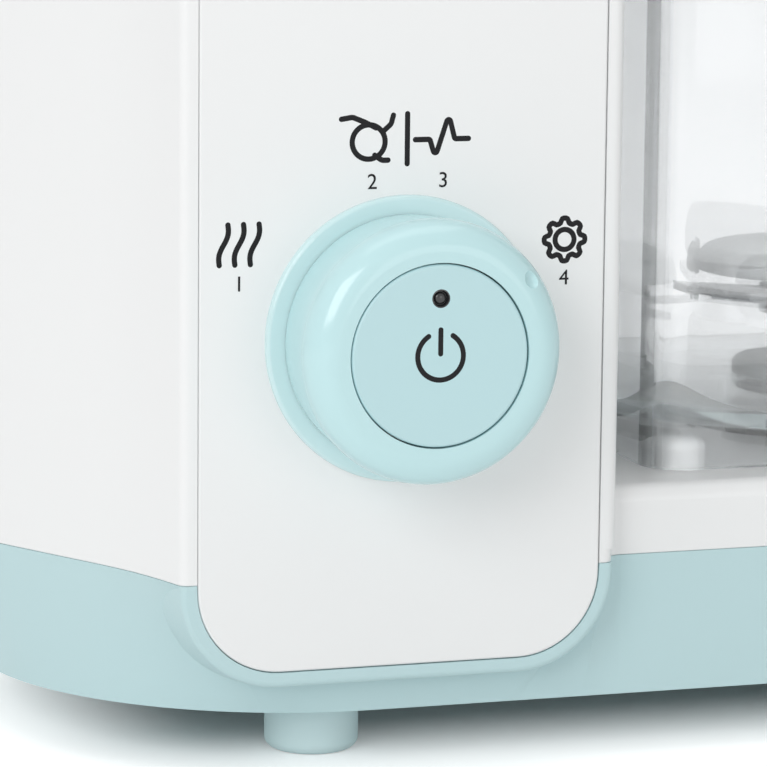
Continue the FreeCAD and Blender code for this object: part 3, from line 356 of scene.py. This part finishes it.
def stroke_tree():
    """Printed line: a flat rounded stroke along each spline, in the XZ plane."""
    tree, given = tree_inputs("printed_stroke", ("Width", "Depth", "Corner"), "Ink")
    soft = add(tree, "GeometryNodeFilletCurve", {"Curve": given["Geometry"], "Radius": given["Corner"],
                                                 "Limit Radius": True, "Count": 6}, mode="POLY")
    path = soft.outputs["Curve"]
    half = add(tree, "ShaderNodeMath", {0: given["Width"], 1: 0.5}, operation="MULTIPLY").outputs[0]
    ring = add(tree, "GeometryNodeCurvePrimitiveCircle", {"Resolution": 12, "Radius": half})
    tube = add(tree, "GeometryNodeCurveToMesh", {"Curve": path, "Profile Curve": ring.outputs["Curve"],
                                                 "Fill Caps": True})
    ends = add(tree, "GeometryNodeCurveEndpointSelection", {"Start Size": 1, "End Size": 1})
    ball = add(tree, "GeometryNodeMeshUVSphere", {"Segments": 16, "Rings": 8, "Radius": half})
    dots = add(tree, "GeometryNodeInstanceOnPoints", {"Points": path, "Instance": ball.outputs["Mesh"],
                                                      "Selection": ends.outputs["Selection"]})
    both = add(tree, "GeometryNodeJoinGeometry")
    for part in (tube.outputs["Mesh"], dots.outputs["Instances"]):
        tree.links.new(part, both.inputs["Geometry"])
    real = add(tree, "GeometryNodeRealizeInstances", {"Geometry": both.outputs["Geometry"]})
    flat = add(tree, "ShaderNodeMath", {0: given["Depth"], 1: given["Width"]}, operation="DIVIDE")
    scale = add(tree, "ShaderNodeCombineXYZ", {"X": 1.0, "Y": flat.outputs[0], "Z": 1.0})
    press = add(tree, "GeometryNodeTransform", {"Geometry": real.outputs["Geometry"],
                                                "Scale": scale.outputs["Vector"]})
    close_tree(tree, press.outputs["Geometry"], given["Ink"])
    return tree


def screw_tree():
    """Screw with a cross sunk into its head, at a rectangle's four corners, each turned its own way."""
    tree, given = tree_inputs("foot_screw_set", ("Slot", "Arm", "Recess", "Span X", "Span Y"), "Steel")
    deep = add(tree, "ShaderNodeMath", {0: given["Recess"], 1: 2.0}, operation="MULTIPLY")
    cross = add(tree, "GeometryNodeMeshBoolean", operation="UNION", solver="EXACT")
    for x, y in (("Arm", "Slot"), ("Slot", "Arm")):
        size = add(tree, "ShaderNodeCombineXYZ", {"X": given[x], "Y": given[y], "Z": deep.outputs[0]})
        bar = add(tree, "GeometryNodeMeshCube", {"Size": size.outputs["Vector"]})
        tree.links.new(bar.outputs["Mesh"], cross.inputs["Mesh 2"])
    sunk = add(tree, "GeometryNodeMeshBoolean", {"Mesh 1": given["Geometry"],
                                                 "Mesh 2": cross.outputs["Mesh"]},
               operation="DIFFERENCE", solver="EXACT")
    places = add(tree, "GeometryNodeMeshGrid", {"Size X": given["Span X"], "Size Y": given["Span Y"],
                                                "Vertices X": 2, "Vertices Y": 2})
    turn = add(tree, "FunctionNodeRandomValue", {"Min": (0, 0, 0), "Max": (0, 0, math.pi / 2),
                                                 "Seed": SCREW_SEED}, data_type="FLOAT_VECTOR")
    set_out = add(tree, "GeometryNodeInstanceOnPoints", {"Points": places.outputs["Mesh"],
                                                         "Instance": sunk.outputs["Mesh"],
                                                         "Rotation": turn.outputs["Value"]})
    close_tree(tree, set_out.outputs["Instances"], given["Steel"])
    return tree


def strokes(name, lines, place, width, depth, ink, tree, corner=0.0):
    """One printed symbol from (points, closed) lines in millimetres about its own middle."""
    curve = bpy.data.curves.new(name, "CURVE")
    curve.dimensions = "3D"
    for points, closed in lines:
        spline = curve.splines.new("POLY")
        spline.points.add(len(points) - 1)
        for point, (x, z) in zip(spline.points, points):
            point.co = (x * MM, 0.0, z * MM, 1.0)
        spline.use_cyclic_u = closed
    obj = new_object(name, curve)
    apply_tree(obj, tree, width=width, depth=depth, corner=corner * MM, ink=ink)
    return settle(obj, Matrix.Translation(place))


def on_panel(x, z):
    """Place on the panel's face, in millimetres from the dial's axis."""
    return Vector((dial_axis.x + x * MM, panel_face, dial_axis.z + z * MM))


def wave(x, height, swing, lean, steps=24):
    """Upright wavy line that leans over to the right, as steam is drawn."""
    points = []
    for i in range(steps + 1):
        t = i / steps
        points.append((x + lean * (t - 0.5) - swing * math.sin(2 * math.pi * t), height * (t - 0.5)))
    return points, False


def circle(radius, x=0.0, z=0.0, start=0.0, sweep=360.0, steps=40):
    """Round line, closed if it goes all the way."""
    closed = sweep >= 360.0
    count = steps if closed else steps + 1
    angles = [math.radians(start + sweep * i / steps) for i in range(count)]
    return [(x + radius * math.cos(a), z + radius * math.sin(a)) for a in angles], closed


def lobed(radius, swing, lobes, steep=2.2, steps=96):
    """Closed line with round lobes, as a setting wheel is drawn. Their flanks are steep."""
    points = []
    for i in range(steps):
        a = 2 * math.pi * i / steps
        r = radius + swing * math.tanh(steep * math.cos(lobes * a))
        points.append((r * math.cos(a), r * math.sin(a)))
    return points, True


class FOODMAKER_OT_shell(bpy.types.Operator):
    """Finish the housing, front panel, base and feet"""

    bl_idname = "foodmaker.shell"
    bl_label = "Housing and base"

    def execute(self, context):
        finish = context.scene.foodmaker_finish
        # ABS moulded in a polished tool: an even white with a soft gloss and barely any grain.
        white = surface("moulded_white_abs", finish.housing, roughness=0.3, grain=0.8, shade=0.012,
                        spread=0.02, height=0.0004, IOR=ABS_IOR)
        dress(white, "housing", "front_panel", "jug_handle", "blade_cap", "water_tank", "button_guide")
        # ABS moulded in a spark-eroded tool: a duller teal whose highlights spread out. The tool's
        # grain is finer than 0.6 mm, and is drawn that coarse to show.
        teal = surface("satin_teal_abs", finish.base, roughness=0.4, grain=0.6, shade=0.02, height=0.002,
                       IOR=ABS_IOR)
        dress(teal, "base_shell", "jug_lid", "lid_stopper", "tank_lid")
        # Thermoplastic elastomer: soft and dull, so that it grips the table. Its tone, paler than the ABS,
        # is painted light that brightens the feet in the shade under the base.
        grip_painted_light = surface("teal_elastomer", finish.feet, roughness=0.55, grain=0.5, shade=0.03, height=0.004,
                       IOR=ELASTOMER_IOR)
        dress(grip_painted_light, "foot_front_left", "foot_front_right", "foot_back_left", "foot_back_right")
        return {"FINISHED"}


class FOODMAKER_OT_dial(bpy.types.Operator):
    """Finish the dial, its bezel, the power button and the lamp window"""

    bl_idname = "foodmaker.dial"
    bl_label = "Dial and button"

    def execute(self, context):
        finish = context.scene.foodmaker_finish
        # ABS from a mirror-polished tool: sharp bright reflections over a clean teal.
        gloss = surface("polished_teal_abs", finish.dial, roughness=0.14, grain=0.8, shade=0.015,
                        spread=0.03, height=0.001, IOR=ABS_IOR)
        dress(gloss, "dial")
        # That ABS, nearly as glossy, painted paler: over the dial's own teal, the paleness is a painted
        # reflection of the white surroundings at grazing angles.
        pale = surface("polished_pale_teal_abs", finish.bezel, roughness=0.17, grain=0.8, shade=0.015,
                       spread=0.03, height=0.001, IOR=ABS_IOR)
        dress(pale, "dial_bezel")
        # The same ABS, spark-eroded: the button stays matt beside the dial.
        matt = surface("matt_teal_abs", finish.button, roughness=0.5, grain=0.5, shade=0.015, height=0.002,
                       IOR=ABS_IOR)
        dress(matt, "power_button")
        # Smoked polycarbonate: nearly black, with a sharp gloss.
        smoked = surface("smoked_polycarbonate", finish.lamp, roughness=0.06, grain=0.8, shade=0.2,
                         spread=0.02, height=0.001, IOR=POLYCARBONATE_IOR)
        self.lamp_lens(smoked)
        return {"FINISHED"}

    def lamp_lens(self, smoked):
        """Domed lens in the middle of a sunk ring, in the window's place. Sizes are in millimetres."""
        # Width and depth of the ring, its flat floor beside the lens, and the lens's height above that.
        ring, sunk, gap, rise = 0.5, 0.8, 0.06, 0.66
        # Width of the lip round the ring, and how deep it lies at its inner and outer edges.
        lip, inner_sunk, outer_sunk = 0.2, 0.02, 0.05
        low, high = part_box("lamp_window")
        centre = middle("lamp_window")
        radius = (high.x - low.x) / 2 / MM
        depth = (high.y - low.y) / MM
        lens = radius - ring
        profile = [(0.0, -depth), (radius, -depth), (radius, -outer_sunk), (radius - lip, -inner_sunk),
                   (lens + gap, -sunk)]
        for turn in quarter_turn(8):
            profile.append((lens * math.cos(turn), rise * math.sin(turn) - sunk))
        mesh = turned("lamp_lens", profile, steps=48)
        smooth(mesh)
        mesh.materials.append(smoked)
        mesh.transform(Matrix.Translation((centre.x, low.y, centre.z)) @ UPRIGHT)
        finish_piece(new_object("lamp_lens", mesh), "power_button", "lamp_plastic", "lamp_window")


class FOODMAKER_OT_jug(bpy.types.Operator):
    """Finish the clear jug and the milky steam basket"""

    bl_idname = "foodmaker.jug"
    bl_label = "Jug and basket"

    def execute(self, context):
        finish = context.scene.foodmaker_finish
        # Copolyester, moulded clear: bright, with a little uneven refraction where the wall turns away.
        # Its alpha lets part of the sight straight through, which softens what the corners bend.
        clear = surface("clear_copolyester", finish.jug, roughness=0.03, grain=3.0, shade=0.01,
                        spread=0.015, height=0.004, IOR=COPOLYESTER_IOR,
                        **{"Transmission Weight": 1.0, "Alpha": 0.72})
        self.fill_wall(clear, finish.jug_depth, density=8.0)
        dress(clear, "jug")
        # Polypropylene, moulded milky: light comes through without an image.
        milky = surface("milky_polypropylene", finish.basket, roughness=0.35, grain=0.6, shade=0.02,
                        height=0.004, IOR=POLYPROPYLENE_IOR, **{"Transmission Weight": 0.35})
        dress(milky, "steam_basket")
        return {"FINISHED"}

    def fill_wall(self, material, shade, density):
        """Let lamps light what stands inside the clear wall, and darken it where sight runs along it."""
        tree = material.node_tree
        end = next(node for node in tree.nodes if node.type == "OUTPUT_MATERIAL")
        wall = end.inputs["Surface"].links[0].from_socket
        open_wall = add(tree, "ShaderNodeBsdfTransparent", {"Color": WHITE})
        shadow = add(tree, "ShaderNodeLightPath").outputs["Is Shadow Ray"]
        both = add(tree, "ShaderNodeMixShader", {0: shadow, 1: wall, 2: open_wall.outputs[0]})
        tree.links.new(both.outputs[0], end.inputs["Surface"])
        body = add(tree, "ShaderNodeVolumeAbsorption", {"Color": (*shade, 1), "Density": density})
        tree.links.new(body.outputs[0], end.inputs["Volume"])


class FOODMAKER_OT_metal(bpy.types.Operator):
    """Finish the blades, shafts, boiler and other metal pieces"""

    bl_idname = "foodmaker.metal"
    bl_label = "Blades and metal pieces"

    def execute(self, context):
        finish = context.scene.foodmaker_finish
        # Stainless steel, ground: fine lines along the sheet, drawn as coarse as 0.25 mm to show.
        steel = brushed("ground_stainless_steel", finish.steel, roughness=0.24, line=0.25, run=6.0)
        dress(steel, "blade_lower", "blade_upper", "blade_shaft", "blade_spacers", "motor_shaft", "spindle",
              "hinge_pin", "motor", "motor_bracket")
        # Die-cast aluminium: grey, with a sandy skin.
        cast = surface("die_cast_aluminium", finish.aluminium, roughness=0.45, grain=0.7, shade=0.1,
                       height=0.03, Metallic=1.0)
        dress(cast, "boiler_cup", "boiler_cover", "bearing_housing")
        # Steel browned by heat, in patches.
        hot = surface("heat_browned_steel", finish.hot_steel, roughness=0.5, grain=1.2, cloud=12.0,
                      shade=0.35, height=0.02, Metallic=1.0)
        dress(hot, "heating_element", "thermostat")
        # Sintered bronze: dull yellow brown with open pores.
        bronze = surface("sintered_bronze", finish.bronze, roughness=0.48, grain=0.35, shade=0.15,
                         height=0.03, Metallic=1.0)
        dress(bronze, "bush_lower", "bush_upper")
        # Zinc-plated steel: bright and slightly blue, with a cloudy film.
        zinc = surface("zinc_plated_steel", finish.zinc, roughness=0.32, grain=0.6, cloud=4.0, shade=0.12,
                       height=0.006, Metallic=1.0)
        self.screws(context.scene.foodmaker_screws, zinc)
        return {"FINISHED"}

    def screws(self, sizes, zinc):
        """Cross-recessed pan-head screws in the four feet."""
        low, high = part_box("foot_screws")
        length = (high.z - low.z) / MM
        head, round_off = sizes.head / MM / 2, sizes.head_round / MM
        height, shank = sizes.head_height / MM, sizes.shank / MM / 2
        profile = [(0.0, 0.0)]
        for turn in quarter_turn(6):
            profile.append((head - round_off * (1 - math.sin(turn)), round_off * (1 - math.cos(turn))))
        profile += [(head, height), (shank, height), (shank, length - shank), (0.0, length)]
        obj = new_object("cross_screws", turned("cross_screws", profile, steps=32))
        corners = [middle("foot_front_left"), middle("foot_back_right")]
        span = corners[1] - corners[0]
        apply_tree(obj, screw_tree(), slot=sizes.slot, arm=sizes.arm, recess=sizes.recess, span_x=span.x,
                   span_y=span.y, steel=zinc)
        centre = (corners[0] + corners[1]) / 2
        piece = settle(obj, Matrix.Translation((centre.x, centre.y, low.z)))
        smooth(piece.data)
        finish_piece(piece, "body", "blade_steel", "foot_screws")


class FOODMAKER_OT_inside(bpy.types.Operator):
    """Finish the drive plastics, boards, belt, seals and tubes"""

    bl_idname = "foodmaker.inside"
    bl_label = "Drive, boards and seals"

    def execute(self, context):
        finish = context.scene.foodmaker_finish
        # Glass-filled nylon: black with a dry, slightly cloudy skin.
        nylon = surface("glass_filled_nylon", finish.nylon, roughness=0.5, grain=0.5, shade=0.25,
                        height=0.02, IOR=NYLON_IOR)
        dress(nylon, "dial_rotor", "motor_pulley", "spindle_pulley", "drive_coupling", "jug_coupling",
              "holder_nut", "push_switch", "control_board_parts", "power_board_parts")
        # Blade holder: the same nylon in pale grey.
        grey = surface("grey_nylon", finish.holder, roughness=0.4, grain=0.5, shade=0.08, height=0.01,
                       IOR=NYLON_IOR)
        dress(grey, "blade_holder")
        # Epoxy solder mask over glass cloth, which shows through as a grain of 0.8 mm.
        mask = surface("solder_mask", finish.board, roughness=0.3, grain=0.8, cloud=6.0, shade=0.2,
                       height=0.01, IOR=EPOXY_IOR)
        dress(mask, "control_board", "power_board")
        # Moulded rubber: black and dull with a chalky bloom.
        rubber = surface("moulded_rubber", finish.rubber, roughness=0.7, grain=0.5, cloud=15.0, shade=0.3,
                         height=0.02)
        dress(rubber, "drive_belt", "cord_grommet")
        # Silicone: milky and soft, with a dusty sheen.
        soft = surface("milky_silicone", finish.silicone, roughness=0.55, grain=0.8, shade=0.06,
                       height=0.01, IOR=SILICONE_IOR, **{"Transmission Weight": 0.2, "Sheen Weight": 0.2})
        dress(soft, "shaft_seal", "lid_seal", "tank_seal", "water_tube", "steam_tube", "steam_nozzle")
        return {"FINISHED"}


class FOODMAKER_OT_print(bpy.types.Operator):
    """Print the symbols and numbers of the dial's settings, and the power symbol on the button"""

    bl_idname = "foodmaker.print"
    bl_label = "Printed symbols"

    def execute(self, context):
        sizes = context.scene.foodmaker_print
        # Screen-printed ink: near black, matt, with a ragged film.
        ink = surface("printed_ink", context.scene.foodmaker_finish.ink, roughness=0.6, grain=0.3,
                      cloud=2.0, shade=0.15, height=0.003, **{"Specular IOR Level": 0.25})
        tree = stroke_tree()
        for name, lines, place, corner in self.symbols():
            piece = strokes(name, lines, on_panel(*place), sizes.stroke, sizes.depth, ink, tree, corner)
            finish_piece(piece, "body", "white_plastic")
        for number, place in NUMBER_PLACES.items():
            self.number(number, on_panel(*place), sizes, ink)
        power = [circle(4.05, start=122.0, sweep=296.0), ([(0.0, 4.5), (0.0, 0.4)], False)]
        place = Vector((dial_axis.x, button_face, dial_axis.z))
        piece = strokes("power_symbol", power, place, sizes.power_stroke, sizes.depth, ink, tree)
        finish_piece(piece, "power_button", "teal_dial")
        return {"FINISHED"}

    def symbols(self):
        """Name, lines, middle on the panel and corner radius of each symbol, in millimetres."""
        steam = [wave(x, height=6.9, swing=0.4, lean=1.5) for x in (-2.75, 0.0, 2.75)]
        wings = [[(-4.9, 3.4), (-2.9, 3.7), (-0.7, 2.8), (1.3, 1.8)],
                 [(2.5, 1.1), (4.0, 2.4), (4.4, 3.9)],
                 [(1.1, -2.9), (2.4, -3.8), (3.5, -3.8)]]
        blend = [circle(2.95, z=-0.6)] + [(wing, False) for wing in wings]
        bar = [(0.0, -4.3), (0.0, 4.3)]
        beat = [(-4.9, -0.5), (-2.3, -0.5), (-1.3, -3.6), (1.1, 3.7), (2.2, -0.5), (4.7, -0.5)]
        wheel = [lobed(3.35, swing=0.42, lobes=8), circle(1.75)]
        return (("steam_symbol", steam, (-29.6, 17.2), 0.0),
                ("blend_symbol", blend, (-6.7, 34.8), 1.2),
                ("divider", [(bar, False)], (0.25, 34.6), 0.0),
                ("pulse_symbol", [(beat, False)], (6.6, 34.9), 0.35),
                ("automatic_symbol", wheel, (29.2, 16.3), 0.0))

    def number(self, number, place, sizes, ink):
        """One plain number on the panel."""
        name = "number_" + number
        text = bpy.data.curves.new(name, "FONT")
        text.body = number
        text.align_x = "CENTER"
        text.size = sizes.number / DIGIT_SHARE
        text.extrude = sizes.depth / 2
        text.materials.append(ink)
        piece = settle(new_object(name, text), Matrix.Translation(place) @ UPRIGHT)
        finish_piece(piece, "body", "white_plastic")


class FOODMAKER_OT_stage(bpy.types.Operator):
    """Set the floor, the lamps, the world and the camera"""

    bl_idname = "foodmaker.stage"
    bl_label = "Studio stage"

    def execute(self, context):
        stage = context.scene.foodmaker_stage
        self.floor(stage)
        self.world(context.scene, stage)
        self.lamp("key_lamp", stage.key, size=0.74, place=(-0.95, -0.9, 0.65))
        self.lamp("front_lamp", stage.front, size=0.7, place=(0.35, -1.25, 0.14))
        self.lamp("top_lamp", stage.top, size=1.0, place=(0.0, 0.1, 1.1))
        self.camera(context.scene, stage)
        context.scene.view_settings.view_transform = "Standard"
        return {"FINISHED"}

    def floor(self, stage):
        """Table that carries the object's shadow, and a painted shadow under the base."""
        mesh = bpy.data.meshes.new("floor")
        reach = 6.0
        corners = [(-reach, -reach, 0), (reach, -reach, 0), (reach, reach, 0), (-reach, reach, 0)]
        mesh.from_pydata(corners, [], [(0, 1, 2, 3)])
        obj = new_object("floor", mesh)
        # Lacquered white board: a plain matt white that turns to the backdrop's white away from the object.
        # Its white lift is held back under the base, which paints a shadow there.
        material, tree, place = new_material("white_table")
        low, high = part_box("base_shell")
        centre = (low + high) / 2
        half = (high - low) / 2 - Vector((1, 1, 0)) * stage.shade_inset
        # Distance from a rectangle inside the base's outline.
        away = place
        for operation, other in (("SUBTRACT", (centre.x, centre.y, 0)), ("ABSOLUTE", (0, 0, 0)),
                                 ("SUBTRACT", (half.x, half.y, 0)), ("MAXIMUM", (0, 0, 0))):
            away = add(tree, "ShaderNodeVectorMath", {0: away, 1: other}, operation=operation).outputs[0]
        away = add(tree, "ShaderNodeVectorMath", {0: away}, operation="LENGTH").outputs["Value"]
        # Painted shadow: no lift inside the rectangle, rising to full lift over the shade reach.
        rise = add(tree, "ShaderNodeMapRange", {"Value": away, "From Min": 0.0,
                                                "From Max": stage.shade_reach,
                                                "To Min": 0.0, "To Max": stage.lift},
                   interpolation_type="SMOOTHSTEP")
        matt = add(tree, "ShaderNodeBsdfDiffuse", {"Color": (*stage.floor, 1)})
        lift = add(tree, "ShaderNodeMath", {0: seen_directly(tree), 1: rise.outputs["Result"]},
                   operation="MULTIPLY")
        glow = add(tree, "ShaderNodeEmission", {"Color": WHITE, "Strength": lift.outputs[0]})
        both = add(tree, "ShaderNodeAddShader", {0: matt.outputs[0], 1: glow.outputs[0]})
        add(tree, "ShaderNodeOutputMaterial", {"Surface": both.outputs[0]})
        mesh.materials.append(material)

    def world(self, scene, stage):
        """Even light from all round, before a white backdrop."""
        world = bpy.data.worlds.new("studio")
        world.use_nodes = True
        tree = world.node_tree
        tree.nodes.clear()
        light = add(tree, "ShaderNodeBackground", {"Color": WHITE, "Strength": stage.fill})
        white = add(tree, "ShaderNodeBackground", {"Color": WHITE, "Strength": 1.0})
        mix = add(tree, "ShaderNodeMixShader", {0: seen_directly(tree), 1: light.outputs[0],
                                                2: white.outputs[0]})
        add(tree, "ShaderNodeOutputWorld", {"Surface": mix.outputs[0]})
        scene.world = world

    def lamp(self, name, power, size, place):
        """Square soft lamp that faces the object. Its size and place are in metres."""
        light = bpy.data.lights.new(name, "AREA")
        light.energy = power
        light.shape = "SQUARE"
        light.size = size
        obj = new_object(name, light)
        obj.location = place
        aim = LAMP_AIM - Vector(place)
        obj.rotation_euler = aim.to_track_quat("-Z", "Y").to_euler()

    def camera(self, scene, stage):
        """Camera at the photograph's viewing angle."""
        camera = bpy.data.cameras.new("camera")
        camera.lens = stage.lens
        camera.sensor_width = SENSOR_WIDTH
        camera.clip_start = 0.01
        camera.clip_end = 50.0
        obj = new_object("camera", camera)
        obj.location = stage.place
        obj.rotation_euler = stage.turn
        scene.camera = obj


OPERATORS = (FOODMAKER_OT_shell, FOODMAKER_OT_dial, FOODMAKER_OT_jug, FOODMAKER_OT_metal,
             FOODMAKER_OT_inside, FOODMAKER_OT_print, FOODMAKER_OT_stage)
GROUPS = {"foodmaker_finish": FoodMakerFinish, "foodmaker_print": FoodMakerPrint,
          "foodmaker_screws": FoodMakerScrews, "foodmaker_stage": FoodMakerStage}


class FOODMAKER_PT_panel(bpy.types.Panel):
    """Buttons for the pieces of the food maker, and its sizes and colours"""

    bl_idname = "FOODMAKER_PT_panel"
    bl_label = "Food maker"
    bl_space_type = "VIEW_3D"
    bl_region_type = "UI"
    bl_category = "Food maker"

    def draw(self, context):
        for operator in OPERATORS:
            self.layout.operator(operator.bl_idname)
        for name, group in GROUPS.items():
            box = self.layout.box()
            for prop in group.__annotations__:
                box.prop(getattr(context.scene, name), prop)


CLASSES = (*GROUPS.values(), *OPERATORS, FOODMAKER_PT_panel)


def register():
    for cls in CLASSES:
        bpy.utils.register_class(cls)
    for name, group in GROUPS.items():
        setattr(bpy.types.Scene, name, bpy.props.PointerProperty(type=group))


def unregister():
    for name in GROUPS:
        delattr(bpy.types.Scene, name)
    for cls in reversed(CLASSES):
        bpy.utils.unregister_class(cls)


def main():
    """Dress the part and set the stage."""
    register()
    bpy.ops.foodmaker.shell()
    bpy.ops.foodmaker.dial()
    bpy.ops.foodmaker.jug()
    bpy.ops.foodmaker.metal()
    bpy.ops.foodmaker.inside()
    bpy.ops.foodmaker.print()
    bpy.ops.foodmaker.stage()


if __name__ == "__main__":
    main()
